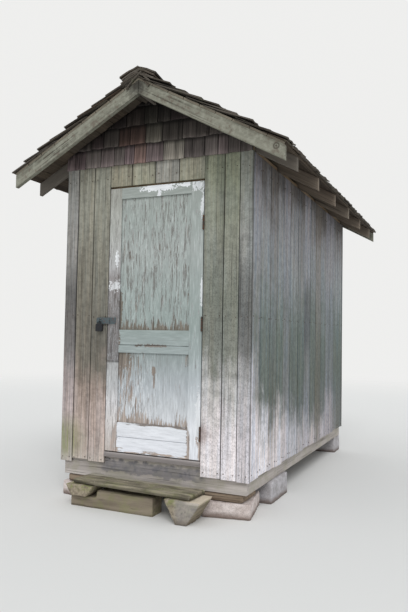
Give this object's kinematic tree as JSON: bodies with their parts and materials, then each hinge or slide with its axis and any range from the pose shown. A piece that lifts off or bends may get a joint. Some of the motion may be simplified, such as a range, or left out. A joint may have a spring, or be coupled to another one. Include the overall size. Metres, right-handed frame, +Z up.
{
  "type": "wooden shed",
  "caption": "Small timber shed with board walls, shingled gable roof, plank step and one panelled door on butt hinges.",
  "frame": {"origin": "on the ground in the middle of the plan, under the ridge", "axes": "+Z up, the front with the door faces -Y, the ridge runs along Y"},
  "size_m": [2.2908, 3.698, 3.2335],
  "materials": {
    "concrete": "rough",
    "step_timber": "weathered",
    "floor_timber": "weathered",
    "frame_timber": "sawn",
    "siding": "weathered",
    "gable_shingle": "weathered",
    "barge": "weathered",
    "roof_deck": "sawn",
    "roof_shingle": "weathered",
    "door_paint": "peeling paint",
    "iron": "rusted"
  },
  "bodies": {
    "shed": {"pads_front": "concrete", "pads_side": "concrete", "packing_front": "step_timber", "step_plank": "step_timber", "step_block": "step_timber", "step_bearers": "step_timber", "end_sills": "floor_timber", "side_sills": "floor_timber", "floor_joists": "floor_timber", "floor_boards": "floor_timber", "threshold": "floor_timber", "posts": "frame_timber", "wall_studs": "frame_timber", "side_plates": "frame_timber", "end_plates": "frame_timber", "door_header": "frame_timber", "door_stops": "frame_timber", "rafters": "frame_timber", "ridge_board": "frame_timber", "front_wall_left": "siding", "front_wall_right": "siding", "front_wall_over_door": "siding", "left_wall": "siding", "right_wall": "siding", "rear_wall": "siding", "front_gable": "siding", "rear_gable": "siding", "front_gable_shingles": "gable_shingle", "rear_gable_shingles": "gable_shingle", "front_barges": "barge", "rear_barges": "barge", "roof_deck_left": "roof_deck", "roof_deck_right": "roof_deck", "shingles_left": "roof_shingle", "shingles_right": "roof_shingle", "ridge_cap": "roof_shingle", "hinge_wall_leaves": "iron"},
    "door": {"door_stiles": "door_paint", "door_rails": "door_paint", "door_panels": "door_paint", "hinge_door_leaves": "iron", "hasp_strap": "iron", "hasp_staple": "iron", "padlock": "iron"}
  },
  "joints": [
    {"name": "door_hinge", "type": "hinge", "parent": "shed", "child": "door", "pos_m": [0.4195, -1.566, 1.4], "axis": [0, 0, 1], "range_deg": [0, 110]}
  ]
}
